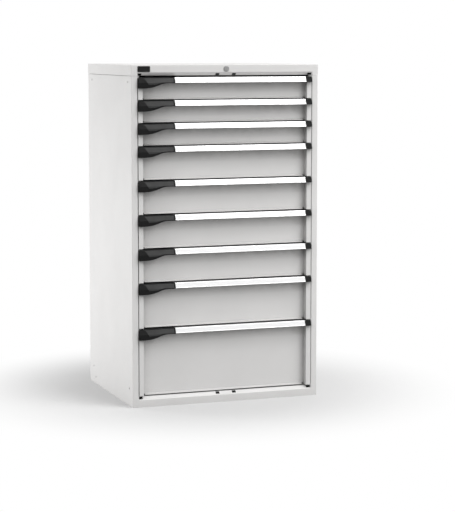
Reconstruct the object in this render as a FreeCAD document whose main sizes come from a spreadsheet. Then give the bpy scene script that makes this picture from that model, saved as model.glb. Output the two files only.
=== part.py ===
import FreeCAD, Part
import math
import os
import Sketcher

# A tall drawer cabinet for a laboratory or workshop: nine drawers on telescopic rails in a
# folded sheet-steel housing. Millimetres, +X to the right, +Y to the back, +Z up.
# Each piece is drawn with y = 0 on the face of the front frame, and placed from there.

DRAWERS = 9

SIZES = [
    ("body_width", 870.0),
    ("body_depth", 705.0),
    ("band_height", 50.0),
    ("band_face", 32.0),
    ("band_bevel", 14.0),
    ("post_face", 25.5),
    ("return_depth", 16.0),
    ("housing_sheet", 1.5),
    ("base_height", 47.0),
    ("cap_height", 48.0),
    ("cap_overhang", 1.2),
    ("cap_flange", 12.0),
    ("rear_flange", 20.0),
    ("corner_round", 2.0),
    ("cap_chamfer", 1.6),
    ("back_sheet", 1.0),
    ("back_clearance", 0.3),
    ("side_bolt_radius", 4.5),
    ("side_bolt_front", 54.0),
    ("side_bolt_rear", 64.0),
    ("side_bolt_rise", 31.0),
    ("side_bolt_drop", 26.0),
    ("base_hole_radius", 4.0),
    ("base_hole_rear", 98.0),
    ("base_hole_rise", 30.0),
    ("floor_flange", 32.0),
    ("floor_bolt_radius", 5.5),
    ("floor_bolt_inset", 17.0),
    ("front_height_1", 100.0),
    ("front_height_2", 100.0),
    ("front_height_3", 100.0),
    ("front_height_4", 150.0),
    ("front_height_5", 150.0),
    ("front_height_6", 150.0),
    ("front_height_7", 150.0),
    ("front_height_8", 200.0),
    ("front_height_9", 300.0),
    ("front_gap", 4.0),
    ("strip_inset", 30.3),
    ("strip_width", 21.3),
    ("strip_return", 9.0),
    ("recess_depth", 30.0),
    ("front_sheet", 1.2),
    ("flange_reach", 28.0),
    ("lip_rise", 2.0),
    ("lip_height", 5.0),
    ("lip_reach", 12.0),
    ("relief_width", 10.0),
    ("tray_sheet", 1.2),
    ("tray_depth", 612.0),
    ("tray_floor_rise", 8.0),
    ("tray_wall_drop", 10.0),
    ("tray_edge", 5.0),
    ("rail_line", 39.0),
    ("rail_depth", 19.5),
    ("rail_height", 46.0),
    ("rail_sheet", 1.5),
    ("rail_gap", 0.5),
    ("rail_rise", 14.0),
    ("rail_start", 33.0),
    ("rail_length", 607.0),
    ("rail_tip_gap", 1.5),
    ("upright_width", 30.0),
    ("upright_sheet", 2.0),
    ("upright_front", 70.0),
    ("upright_rear", 85.0),
    ("slot_pitch", 100.0),
    ("slot_width", 8.0),
    ("slot_height", 22.0),
    ("slot_start", 23.0),
    ("proud_top", 1.5),
    ("proud_bottom", 13.0),
    ("handle_height", 23.0),
    ("handle_wall", 2.6),
    ("handle_plate", 2.0),
    ("handle_hem", 7.0),
    ("handle_round", 0.8),
    ("label_top", 3.4),
    ("label_bottom", 3.0),
    ("label_recess", 0.9),
    ("grip_length", 165.7),
    ("grip_drop", 47.0),
    ("grip_bar", 25.2),
    ("grip_bend_low", 58.2),
    ("grip_bend_high", 113.5),
    ("grip_round_low", 170.0),
    ("grip_round_high", 95.0),
    ("grip_wall", 2.6),
    ("grip_seat", 1.2),
    ("end_width", 29.0),
    ("end_extra", 0.8),
    ("end_chamfer", 1.8),
    ("lever_left", 26.7),
    ("lever_skew", 18.0),
    ("lever_middle", 81.7),
    ("lever_bend", 109.7),
    ("lever_end", 7.5),
    ("lever_drop_left", 30.5),
    ("lever_drop_middle", 28.5),
    ("lever_drop_right", 21.0),
    ("lever_clearance", 0.4),
    ("lever_wall", 2.2),
    ("pivot_radius", 2.2),
    ("pivot_drop", 5.4),
    ("pivot_clearance", 0.05),
    ("pin_length", 4.0),
    ("boss_gap", 0.4),
    ("plug_width", 17.5),
    ("plug_inset", 30.0),
    ("plug_start", 4.5),
    ("plug_run", 8.8),
    ("plug_depth", 5.0),
    ("plug_clip", 1.0),
    ("lock_drop", 18.0),
    ("lock_radius", 8.5),
    ("lock_clearance", 0.05),
    ("lock_wall", 1.0),
    ("lock_length", 22.0),
    ("rosette_radius", 13.0),
    ("rosette_height", 3.0),
    ("nut_radius", 13.0),
    ("nut_height", 4.0),
    ("keyway_width", 1.6),
    ("keyway_height", 8.0),
    ("keyway_depth", 4.0),
    ("tail_width", 9.0),
    ("cam_start", 24.5),
    ("cam_sheet", 2.0),
    ("cam_hub", 9.0),
    ("cam_tip", 5.0),
    ("cam_throw", 10.0),
    ("cam_pin_radius", 2.5),
    ("cam_pin_length", 3.2),
    ("linkage_clearance", 0.5),
    ("link_start", 27.2),
    ("link_sheet", 2.0),
    ("link_height", 24.0),
    ("link_drop", 15.0),
    ("link_tail", 16.0),
    ("link_head", 8.0),
    ("bar_start", 30.5),
    ("bar_sheet", 2.0),
    ("bar_inset", 28.0),
    ("bar_width", 10.0),
    ("bar_floor_gap", 0.8),
    ("bar_pin_drop", 34.0),
    ("bar_pin_length", 3.9),
    ("bar_top_drop", 28.0),
    ("finger_sheet", 1.5),
    ("finger_reach", 5.5),
    ("finger_rise", 61.5),
    ("finger_height", 6.0),
    ("catch_start", 36.0),
    ("catch_sheet", 1.5),
    ("catch_foot", 16.0),
    ("catch_reach", 18.0),
    ("catch_rise", 69.0),
    ("catch_height", 12.0),
]

doc = FreeCAD.newDocument("drawer_cabinet")
sheet = doc.addObject("Spreadsheet::Sheet", "sizes")
sub_parts = []


class Size:
    """A length with its number and the cell expression that gives it."""

    def __init__(self, text, value):
        self.text = text
        self.value = value

    @staticmethod
    def of(other):
        if isinstance(other, Size):
            return other
        return Size(repr(float(other)), float(other))

    def joined(self, sign, other, value):
        return Size(f"({self.text} {sign} {other.text})", value)

    def __add__(self, other):
        other = Size.of(other)
        return self.joined("+", other, self.value + other.value)

    def __sub__(self, other):
        other = Size.of(other)
        return self.joined("-", other, self.value - other.value)

    def __mul__(self, other):
        other = Size.of(other)
        return self.joined("*", other, self.value * other.value)

    def __truediv__(self, other):
        other = Size.of(other)
        return self.joined("/", other, self.value / other.value)

    def __radd__(self, other):
        return Size.of(other) + self

    def __rsub__(self, other):
        return Size.of(other) - self

    def __rmul__(self, other):
        return Size.of(other) * self

    def __neg__(self):
        return Size(f"(0 - {self.text})", -self.value)


class Cells:
    """The spreadsheet's cells, read by name."""

    def __init__(self):
        for row, (name, value) in enumerate(SIZES, start=1):
            sheet.set(f"A{row}", name.replace("_", " "))
            sheet.set(f"B{row}", str(value))
            sheet.setAlias(f"B{row}", name)
            setattr(self, name, Size(f"sizes.{name}", value))


s = Cells()
doc.recompute()

zero = Size.of(0)
half_width = s.body_width / 2
front_line = s.proud_bottom - (s.body_depth + s.proud_bottom) / 2
front_heights = [getattr(s, f"front_height_{number}") for number in range(1, DRAWERS + 1)]


def drawer_bottom(number):
    """Height of the lower edge of a drawer front, the drawers counted from the top."""
    height = s.band_height
    for below in range(number, DRAWERS):
        height = height + front_heights[below]
    return height


def drawer_top(number):
    return drawer_bottom(number) + front_heights[number - 1] - s.front_gap


overall_height = drawer_bottom(0) + s.band_height
panel_height = overall_height - s.cap_height - s.base_height
lock_height = overall_height - s.lock_drop
lever_right = s.grip_length - s.lever_end

# Sketches and features. A sketch lies in an origin plane, moved along that plane's axis.

PLANE_AXIS = {"XY_Plane": 1, "XZ_Plane": -1, "YZ_Plane": 1}


def bind(target, name, size):
    target.setExpression(name, Size.of(size).text)


def new_body(label):
    body = doc.addObject("PartDesign::Body", label)
    body.Label = label
    return body


def origin_feature(body, role):
    return next(item for item in body.Origin.OriginFeatures if item.Role == role)


def new_sketch(body, plane, away):
    sketch = body.newObject("Sketcher::SketchObject", "outline")
    sketch.AttachmentSupport = [(origin_feature(body, plane), "")]
    sketch.MapMode = "FlatFace"
    bind(sketch, ".AttachmentOffset.Base.z", Size.of(away) * PLANE_AXIS[plane])
    return sketch


def pin_point(sketch, curve, position, point):
    """Fixes a point of a sketch by its two distances from the sketch's origin."""
    for kind, size in zip(("DistanceX", "DistanceY"), point):
        size = Size.of(size)
        distance = Sketcher.Constraint(kind, -1, 1, curve, position, size.value)
        bind(sketch, f"Constraints[{sketch.addConstraint(distance)}]", size)


def draw_outlines(body, plane, outlines, away=0):
    """A sketch of closed outlines, each a list of (across, up) corners."""
    sketch = new_sketch(body, plane, away)
    for corners in outlines:
        count = len(corners)
        first = sketch.GeometryCount
        spots = [FreeCAD.Vector(Size.of(a).value, Size.of(b).value, 0) for a, b in corners]
        for i in range(count):
            sketch.addGeometry(Part.LineSegment(spots[i], spots[(i + 1) % count]), False)
        for i in range(count):
            after = first + (i + 1) % count
            sketch.addConstraint(Sketcher.Constraint("Coincident", first + i, 2, after, 1))
        for i, corner in enumerate(corners):
            pin_point(sketch, first + i, 1, corner)
    return sketch


def draw_circles(body, plane, circles, away=0):
    """A sketch of circles, each (across, up, radius)."""
    sketch = new_sketch(body, plane, away)
    for across, up, radius in circles:
        radius = Size.of(radius)
        centre = FreeCAD.Vector(Size.of(across).value, Size.of(up).value, 0)
        circle = Part.Circle(centre, FreeCAD.Vector(0, 0, 1), radius.value)
        curve = sketch.addGeometry(circle, False)
        size = Sketcher.Constraint("Radius", curve, radius.value)
        bind(sketch, f"Constraints[{sketch.addConstraint(size)}]", radius)
        pin_point(sketch, curve, 3, (across, up))
    return sketch


def rectangle(low_across, high_across, low_up, high_up):
    return [
        (low_across, low_up),
        (high_across, low_up),
        (high_across, high_up),
        (low_across, high_up),
    ]


def folded(path, thickness):
    """Outline of a folded sheet: a path and the same path moved to its left."""
    spots = [FreeCAD.Vector(Size.of(a).value, Size.of(b).value, 0) for a, b in path]
    lefts = []
    for start, end in zip(spots, spots[1:]):
        way = (end - start).normalize()
        lefts.append(FreeCAD.Vector(-way.y, way.x, 0))
    moved = []
    for i, (across, up) in enumerate(path):
        before = lefts[max(i - 1, 0)]
        after = lefts[min(i, len(lefts) - 1)]
        corner = (before + after) * (1 / (1 + before.dot(after)))
        moved.append((across + thickness * corner.x, up + thickness * corner.y))
    return list(path) + moved[::-1]


def pad(body, sketch, length, way=1):
    """Adds material along the plane's axis: forwards, backwards (-1) or both ways (0)."""
    feature = body.newObject("PartDesign::Pad", "pad")
    feature.Profile = sketch
    bind(feature, "Length", length)
    if way == 0:
        feature.SideType = "Symmetric"
    else:
        feature.Reversed = way != PLANE_AXIS[sketch.AttachmentSupport[0][0].Role]
    return feature


def pocket(body, sketch, length=None, way=0):
    """Removes material along the plane's axis; with no length it goes right through."""
    feature = body.newObject("PartDesign::Pocket", "pocket")
    feature.Profile = sketch
    if length is None:
        feature.Type = "ThroughAll"
    else:
        bind(feature, "Length", length)
    if way == 0:
        feature.SideType = "Symmetric"
    else:
        feature.Reversed = way == PLANE_AXIS[sketch.AttachmentSupport[0][0].Role]
    return feature


def mirror(body, features):
    """Repeats features on the other side of the middle plane."""
    feature = body.newObject("PartDesign::Mirrored", "mirror")
    feature.Originals = features
    feature.MirrorPlane = (origin_feature(body, "YZ_Plane"), [""])
    body.Tip = feature
    return feature


def repeat_up(body, features, pitch, count):
    feature = body.newObject("PartDesign::LinearPattern", "pattern")
    feature.Originals = features
    feature.Direction = (origin_feature(body, "Z_Axis"), [""])
    feature.Mode = "Spacing"
    bind(feature, "Offset", pitch)
    feature.Occurrences = count
    body.Tip = feature
    return feature


def dress_edges(body, kind, size, wanted):
    """A Fillet or Chamfer on the edges for which wanted(edge, middle) is true."""
    doc.recompute()
    base = body.Tip
    edges = enumerate(base.Shape.Edges, start=1)
    names = [f"Edge{number}" for number, edge in edges if wanted(edge, edge.CenterOfMass)]
    feature = body.newObject(f"PartDesign::{kind}", kind.lower())
    feature.Base = (base, names)
    bind(feature, "Radius" if kind == "Fillet" else "Size", size)
    return feature


def runs_along(edge, axis):
    """Whether an edge is straight and parallel to axis 0, 1 or 2."""
    return isinstance(edge.Curve, Part.Line) and abs(abs(edge.Curve.Direction[axis]) - 1) < 1e-6


def near(number, size):
    return abs(number - Size.of(size).value) < 0.01


def place(sub_part, height=0):
    """Puts a finished piece behind the front line, at its height."""
    bind(sub_part, ".Placement.Base.y", front_line)
    bind(sub_part, ".Placement.Base.z", height)
    sub_parts.append(sub_part)


def group(label, members):
    joined = doc.addObject("Part::Compound", label)
    joined.Label = label
    joined.Links = members
    return joined


def mirrored(source, normal, height=0):
    """The source reflected in the plane through the given height."""
    copy = doc.addObject("Part::Mirroring", "mirrored")
    copy.Source = source
    copy.Normal = FreeCAD.Vector(*normal)
    bind(copy, ".Base.z", height)
    return copy


def copy_at(source, height):
    copy = group("copy", [source])
    bind(copy, ".Placement.Base.z", height)
    return copy


def cut(label, piece, tools):
    for tool in tools:
        carved = doc.addObject("Part::Cut", "carved")
        carved.Base = piece
        carved.Tool = tool
        piece = carved
    piece.Label = label
    return piece


# Housing


def frame_block(label, inset, low, high, opening, overhang):
    """A block with the bevelled drawer opening cut out of its front, moved inwards by inset.

    opening gives the heights of the opening at its narrow inner end; the end that lies
    outside the block has no bevel.
    """
    body = new_body(label)
    side = half_width + overhang - inset
    outline = rectangle(-side, side, inset, s.body_depth - inset)
    pad(body, draw_outlines(body, "XY_Plane", [outline], low), high - low)

    narrow = half_width - s.post_face - s.band_bevel + inset
    heights = rectangle(-narrow, narrow, opening[0] - inset, opening[1] + inset)
    throat = s.band_bevel + s.return_depth + inset
    pocket(body, draw_outlines(body, "XZ_Plane", [heights], inset - 1), throat - inset + 1, way=1)

    bend = inset * (math.sqrt(2) - 1)
    wide = half_width - s.post_face + bend
    bevel = body.newObject("PartDesign::SubtractiveWedge", "bevel")
    bind(bevel, "Xmin", -wide)
    bind(bevel, "Xmax", wide)
    bind(bevel, "X2min", -narrow)
    bind(bevel, "X2max", narrow)
    bind(bevel, "Ymin", inset)
    bind(bevel, "Ymax", s.band_bevel + bend)
    ends = (opening[0] - inset, opening[1] + inset)
    wide_ends = (ends[0] - s.band_bevel + inset - bend, ends[1] + s.band_bevel - inset + bend)
    bind(bevel, "Z2min", ends[0])
    bind(bevel, "Z2max", ends[1])
    bind(bevel, "Zmin", wide_ends[0])
    bind(bevel, "Zmax", wide_ends[1])
    return body


def round_corners(body, side):
    """Rounds the upright outer corners of a frame block."""
    dress_edges(
        body,
        "Fillet",
        s.corner_round,
        lambda edge, middle: runs_along(edge, 2) and near(abs(middle.x), side),
    )


def make_base(plugs):
    t = s.housing_sheet
    inner_edge = s.band_face + s.band_bevel
    opening = (inner_edge, overall_height)
    outer = frame_block("base_block", zero, zero, s.base_height, opening, zero)
    round_corners(outer, half_width)
    inner = frame_block("base_hollow", t, t, s.base_height - t, opening, zero)
    across = half_width - s.floor_flange
    mouth = rectangle(-across, across, s.floor_flange, s.body_depth - s.floor_flange)
    pad(inner, draw_outlines(inner, "XY_Plane", [mouth], -t), 3 * t)
    bolts = [
        (side * (half_width - s.floor_bolt_inset), along, s.floor_bolt_radius)
        for side in (-1, 1)
        for along in (s.floor_bolt_inset, s.body_depth - s.floor_bolt_inset)
    ]
    pad(inner, draw_circles(inner, "XY_Plane", bolts, -t), 3 * t)
    hole = [(s.body_depth - s.base_hole_rear, s.base_hole_rise, s.base_hole_radius)]
    pad(inner, draw_circles(inner, "YZ_Plane", hole), s.body_width + 2 * t, way=0)
    place(cut("base", outer, [inner, plugs]))


def make_cap(plugs):
    t = s.housing_sheet
    low = overall_height - s.cap_height
    opening = (zero, overall_height - s.band_face - s.band_bevel)
    side = half_width + s.cap_overhang
    outer = frame_block("cap_block", zero, low, overall_height, opening, s.cap_overhang)
    lock_hole = [(0, lock_height, s.lock_radius + s.lock_clearance + s.lock_wall)]
    pocket(outer, draw_circles(outer, "XZ_Plane", lock_hole), s.band_bevel, way=1)
    round_corners(outer, side)
    dress_edges(
        outer,
        "Chamfer",
        s.cap_chamfer,
        lambda edge, middle: near(middle.z, overall_height),
    )
    inner = frame_block("cap_hollow", t, low + t, overall_height - t, opening, s.cap_overhang)
    across = half_width - s.cap_flange
    front = s.band_bevel + s.return_depth
    mouth = rectangle(-across, across, front, s.body_depth - s.cap_flange)
    pad(inner, draw_outlines(inner, "XY_Plane", [mouth], low - t), 3 * t)
    place(cut("top_cap", outer, [inner, plugs]))


def make_plugs():
    """Plugs that close slots in the bevel of the top and bottom bands."""
    start = s.plug_start
    end = s.plug_start + s.plug_run
    sink = s.plug_depth / math.sqrt(2)
    section = [
        (start, s.band_face + start),
        (start + sink, s.band_face + start - sink),
        (end + sink, s.band_face + end - sink),
        (end, s.band_face + end),
    ]
    corner = new_body("corner_plug")
    left = s.plug_inset - half_width
    pad(corner, draw_outlines(corner, "YZ_Plane", [section], left), s.plug_width)
    reach = s.band_bevel + s.plug_depth
    mitre_x = s.post_face + s.plug_clip - half_width
    beyond = [
        (mitre_x - reach, s.band_face - reach),
        (mitre_x + reach, s.band_face + reach),
        (mitre_x - reach, s.band_face + reach),
    ]
    pocket(corner, draw_outlines(corner, "XZ_Plane", [beyond]))
    middle = new_body("middle_plug")
    pad(middle, draw_outlines(middle, "YZ_Plane", [section], s.plug_inset), s.plug_width)
    below = [corner, middle] + [mirrored(plug, (1, 0, 0)) for plug in (corner, middle)]
    above = [mirrored(plug, (0, 0, 1), overall_height / 2) for plug in below]
    return below + above


def make_side(label, side):
    """A folded side panel: rear flange, side, front post, bevel and return."""
    body = new_body(label)
    outer = side * half_width
    inner = outer - side * (s.post_face + s.band_bevel)
    path = [
        (outer - side * s.rear_flange, s.body_depth),
        (outer, s.body_depth),
        (outer, zero),
        (outer - side * s.post_face, zero),
        (inner, s.band_bevel),
        (inner, s.band_bevel + s.return_depth),
    ]
    if side > 0:
        path.reverse()
    profile = folded(path, s.housing_sheet)
    pad(body, draw_outlines(body, "XY_Plane", [profile], s.base_height), panel_height)
    bolts = [
        (along, up, s.side_bolt_radius)
        for along in (s.side_bolt_front, s.body_depth - s.side_bolt_rear)
        for up in (
            s.base_height + s.side_bolt_rise,
            overall_height - s.cap_height - s.side_bolt_drop,
        )
    ]
    pocket(body, draw_circles(body, "YZ_Plane", bolts))
    dress_edges(
        body,
        "Fillet",
        s.corner_round,
        lambda edge, middle: runs_along(edge, 2) and near(middle.x, outer),
    )
    place(body)


def make_back():
    body = new_body("back_panel")
    across = half_width - s.housing_sheet - s.back_clearance
    rear = s.body_depth - s.housing_sheet
    outline = rectangle(-across, across, rear - s.back_sheet, rear)
    pad(body, draw_outlines(body, "XY_Plane", [outline], s.base_height), panel_height)
    place(body)


def make_upright(side, start):
    """A slotted column: its web carries the rails, its flanges stand on the side panel."""
    body = new_body("upright")
    wall = side * (half_width - s.housing_sheet)
    web = side * (half_width - s.rail_line)
    end = start + s.upright_width
    path = [(wall, start), (web, start), (web, end), (wall, end)]
    if side > 0:
        path.reverse()
    profile = folded(path, s.upright_sheet)
    pad(body, draw_outlines(body, "XY_Plane", [profile], s.base_height), panel_height)
    middle = start + s.upright_width / 2
    half_slot = s.slot_width / 2
    low = s.base_height + s.slot_start
    slot = rectangle(middle - half_slot, middle + half_slot, low, low + s.slot_height)
    first = pocket(body, draw_outlines(body, "YZ_Plane", [slot]))
    room = panel_height - s.slot_start - s.slot_height
    repeat_up(body, [first], s.slot_pitch, 1 + int(room.value / s.slot_pitch.value))
    return body


def make_uprights():
    rear = s.body_depth - s.upright_rear - s.upright_width
    starts = (s.upright_front, rear)
    columns = [make_upright(side, start) for side in (-1, 1) for start in starts]
    place(group("uprights", columns))


# Telescopic rails: three channels nested in each other, the inner one welded to the tray.


def rail_outline(side, step):
    """Section of rail number step: 0 on the uprights, 1 between, 2 on the tray."""
    shrink = step * (s.rail_sheet + s.rail_gap)
    low = s.rail_rise + shrink
    high = s.rail_rise + s.rail_height - shrink
    tray_side = s.rail_line + s.rail_depth
    if step == 2:
        web = side * (half_width - tray_side)
        tip = side * (half_width - s.rail_line - shrink - s.rail_tip_gap)
    else:
        web = side * (half_width - s.rail_line - shrink)
        tip = side * (half_width - tray_side + s.rail_tip_gap + step * s.rail_gap)
    path = [(tip, low), (web, low), (web, high), (tip, high)]
    if web.value < tip.value:
        path.reverse()
    return folded(path, s.rail_sheet)


def pad_rail(body, side, step):
    sketch = draw_outlines(body, "XZ_Plane", [rail_outline(side, step)], s.rail_start)
    return pad(body, sketch, s.rail_length, way=1)


def make_cabinet_rails():
    for side, side_name in ((-1, "left"), (1, "right")):
        rail = new_body("cabinet_rail")
        pad_rail(rail, side, 0)
        copies = [copy_at(rail, drawer_bottom(number)) for number in range(1, DRAWERS + 1)]
        place(group(f"cabinet_rails_{side_name}", copies))


def make_runners():
    members = []
    for side in (-1, 1):
        rail = new_body("middle_rail")
        pad_rail(rail, side, 1)
        members.append(rail)
    for number in range(1, DRAWERS + 1):
        place(group(f"drawer_{number}_runners", members), drawer_bottom(number))


# Drawers. A tray is drawn up from the lower edge of its front.


def make_tray(number):
    """A welded tray behind a recessed front, with its rails."""
    body = new_body("tray")
    top = front_heights[number - 1] - s.front_gap
    t = s.front_sheet
    recess = half_width - s.strip_inset - s.strip_width
    panel_back = s.recess_depth + t

    flange = top - s.handle_plate - t
    panel_foot = s.lip_rise + s.lip_height
    panel_path = [
        (s.recess_depth - s.flange_reach, flange),
        (s.recess_depth, flange),
        (s.recess_depth, panel_foot),
        (s.recess_depth - s.lip_reach, s.lip_rise),
    ]
    panel = folded(panel_path, t)
    pad(body, draw_outlines(body, "YZ_Plane", [panel]), 2 * recess, way=0)
    reliefs = [
        rectangle(-recess, s.relief_width - recess, zero, panel_foot),
        rectangle(recess - s.relief_width, recess, zero, panel_foot),
    ]
    pocket(body, draw_outlines(body, "XZ_Plane", reliefs), s.recess_depth, way=1)

    edge = s.strip_inset - half_width
    strip_path = [
        (edge + s.strip_return, s.strip_return),
        (edge, zero),
        (-recess, zero),
        (-recess, panel_back),
    ]
    strip = pad(body, draw_outlines(body, "XY_Plane", [folded(strip_path, t)]), top)

    wall = s.tray_sheet
    side = half_width - s.rail_line - s.rail_depth
    rear = panel_back + s.tray_depth + wall
    wall_top = top - s.tray_wall_drop
    rim = rectangle(-side - s.tray_edge, side + s.tray_edge, panel_back, rear + s.tray_edge)
    pad(body, draw_outlines(body, "XY_Plane", [rim], wall_top - wall), wall)
    box = rectangle(-side, side, panel_back, rear)
    height = wall_top - s.tray_floor_rise
    pad(body, draw_outlines(body, "XY_Plane", [box], s.tray_floor_rise), height)
    inside = rectangle(wall - side, side - wall, panel_back, rear - wall)
    pocket(body, draw_outlines(body, "XY_Plane", [inside], wall_top), height - wall, way=-1)
    mirror(body, [strip, pad_rail(body, -1, 2)])
    return body


def make_catch():
    """An angle on the tray's right wall, which the lock bar's finger holds back."""
    body = new_body("catch")
    side = half_width - s.rail_line - s.rail_depth
    path = [
        (side, s.catch_start + s.catch_foot),
        (side, s.catch_start),
        (side + s.catch_reach, s.catch_start),
    ]
    angle = folded(path, s.catch_sheet)
    pad(body, draw_outlines(body, "XY_Plane", [angle], s.catch_rise), s.catch_height)
    return body


def make_trays():
    catch = make_catch()
    for number in range(1, DRAWERS + 1):
        tray = group(f"drawer_{number}_tray", [make_tray(number), catch])
        place(tray, drawer_bottom(number))


# Handles. Each piece is drawn down from the top edge of the drawer front, at height 0, and
# its face leans: at the top it lies behind its lower edge.


def face_at(drop):
    """Where the leaning face lies at a depth below its top."""
    lean = (s.proud_bottom - s.proud_top) / s.handle_height
    return -s.proud_top - lean * drop


def lean_sine():
    run = (s.proud_bottom - s.proud_top).value
    return run / math.hypot(run, s.handle_height.value)


def pivot_y():
    """The pivot touches the leaning face from behind."""
    return face_at(s.pivot_drop) + s.pivot_radius / math.sqrt(1 - lean_sine() ** 2)


def make_handle():
    """The aluminium handle, with a shallow seat for a label strip along its face."""
    body = new_body("handle")
    plate = s.handle_plate
    foot = s.handle_height
    label_low = foot - s.label_bottom
    outline = [
        (face_at(zero), zero),
        (face_at(s.label_top), -s.label_top),
        (face_at(s.label_top) + s.label_recess, -s.label_top),
        (face_at(label_low) + s.label_recess, -label_low),
        (face_at(label_low), -label_low),
        (face_at(foot), -foot),
        (face_at(foot) + s.handle_hem, -foot),
        (face_at(foot) + s.handle_hem, plate - foot),
        (face_at(foot - plate) + s.handle_wall, plate - foot),
        (face_at(plate) + s.handle_wall, -plate),
        (s.recess_depth, -plate),
        (s.recess_depth, zero),
    ]
    start = s.strip_inset + s.grip_length - half_width
    length = s.body_width - 2 * s.strip_inset - s.grip_length - s.end_width
    pad(body, draw_outlines(body, "YZ_Plane", [outline], start), length)

    def front_edge(edge, middle):
        upper = near(middle.y, face_at(zero)) and near(middle.z, 0)
        lower = near(middle.y, face_at(foot)) and near(middle.z, -foot)
        return runs_along(edge, 0) and (upper or lower)

    dress_edges(body, "Fillet", s.handle_round, front_edge)
    return body


def grip_x(along):
    return s.strip_inset + along - half_width


def cut_lean(body):
    """Cuts the leaning face on a moulding whose front stands at the full projection."""
    ahead = -s.proud_bottom - 1
    corner = [
        (face_at(zero), Size.of(1)),
        (face_at(zero), zero),
        (face_at(s.handle_height), -s.handle_height),
        (ahead, -s.handle_height),
        (ahead, Size.of(1)),
    ]
    pocket(body, draw_outlines(body, "YZ_Plane", [corner]))


def lever_outline(gap):
    """Front view of the lever, larger by gap on every side."""
    top = s.pivot_drop - s.pivot_radius - gap
    return [
        (grip_x(s.lever_left) - gap, -top),
        (grip_x(s.lever_left + s.lever_skew) - gap, -s.lever_drop_left - gap),
        (grip_x(s.lever_middle), -s.lever_drop_middle - gap),
        (grip_x(s.lever_bend), -s.lever_drop_right - gap),
        (grip_x(lever_right) + gap, -s.lever_drop_right - gap),
        (grip_x(lever_right) + gap, -top),
    ]


def make_grip():
    """The moulded left grip: curved lower edge, window for the lever, seats for its pivot."""
    body = new_body("grip")
    outline = [
        (grip_x(zero), zero),
        (grip_x(zero), -s.grip_drop),
        (grip_x(s.grip_bend_low), -s.grip_drop),
        (grip_x(s.grip_bend_high), -s.grip_bar),
        (grip_x(s.grip_length), -s.grip_bar),
        (grip_x(s.grip_length), zero),
    ]
    pad(body, draw_outlines(body, "XZ_Plane", [outline], -s.proud_bottom), s.proud_bottom)
    bends = (
        (s.grip_bend_low, s.grip_drop, s.grip_round_low),
        (s.grip_bend_high, s.grip_bar, s.grip_round_high),
    )
    for along, drop, radius in bends:
        dress_edges(
            body,
            "Fillet",
            radius,
            lambda edge, middle: runs_along(edge, 1)
            and near(middle.x, grip_x(along))
            and near(middle.z, -drop),
        )

    gap = s.lever_clearance
    inner = s.strip_width + s.grip_seat
    boss_back = s.recess_depth - s.flange_reach - s.boss_gap
    bosses = [
        rectangle(grip_x(inner), grip_x(s.lever_left - gap), -s.grip_bar, zero),
        rectangle(grip_x(lever_right + gap), grip_x(s.grip_length), -s.grip_bar, zero),
    ]
    for boss in bosses:
        pad(body, draw_outlines(body, "XZ_Plane", [boss]), boss_back)
    plate = rectangle(grip_x(inner), grip_x(s.grip_length), -s.handle_plate, zero)
    sketch = draw_outlines(body, "XZ_Plane", [plate], -s.proud_top)
    pad(body, sketch, s.recess_depth + s.proud_top)
    cut_lean(body)

    foot = s.handle_height
    hollow_top = s.pivot_drop - s.pivot_radius - gap
    below = -s.grip_drop - 1
    hollow = [
        (face_at(hollow_top) + s.grip_wall, -hollow_top),
        (face_at(foot) + s.grip_wall, -foot),
        (face_at(foot) + s.grip_wall, below),
        (boss_back + 1, below),
        (boss_back + 1, -hollow_top),
    ]
    start = s.lever_left - gap
    span = lever_right - s.lever_left + 2 * gap
    pocket(body, draw_outlines(body, "YZ_Plane", [hollow], grip_x(start)), span, way=1)
    ahead = -s.proud_bottom - 1
    window = draw_outlines(body, "XZ_Plane", [lever_outline(gap)], ahead)
    pocket(body, window, boss_back - ahead, way=1)
    room = s.pivot_radius + s.pivot_clearance
    low = -s.pivot_drop - room
    seat = rectangle(pivot_y() - room, boss_back + 1, low, room - s.pivot_drop)
    sketch = draw_outlines(body, "YZ_Plane", [seat], grip_x(start - s.pin_length))
    pocket(body, sketch, span + 2 * s.pin_length, way=1)
    return body


def make_end_cap():
    """The moulded cap that closes the right end of the handle."""
    body = new_body("end_cap")
    end = half_width - s.strip_inset
    start = end - s.end_width
    low = -s.handle_height - s.end_extra
    outline = rectangle(start, end, low, zero)
    pad(body, draw_outlines(body, "XZ_Plane", [outline], -s.proud_bottom), s.proud_bottom)
    dress_edges(
        body,
        "Chamfer",
        s.end_chamfer,
        lambda edge, middle: runs_along(edge, 1) and near(middle.x, end),
    )
    plate_end = end - s.strip_width - s.grip_seat
    plate = rectangle(start, plate_end, -s.handle_plate, zero)
    sketch = draw_outlines(body, "XZ_Plane", [plate], -s.proud_top)
    pad(body, sketch, s.recess_depth + s.proud_top)
    cut_lean(body)
    return body


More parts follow.
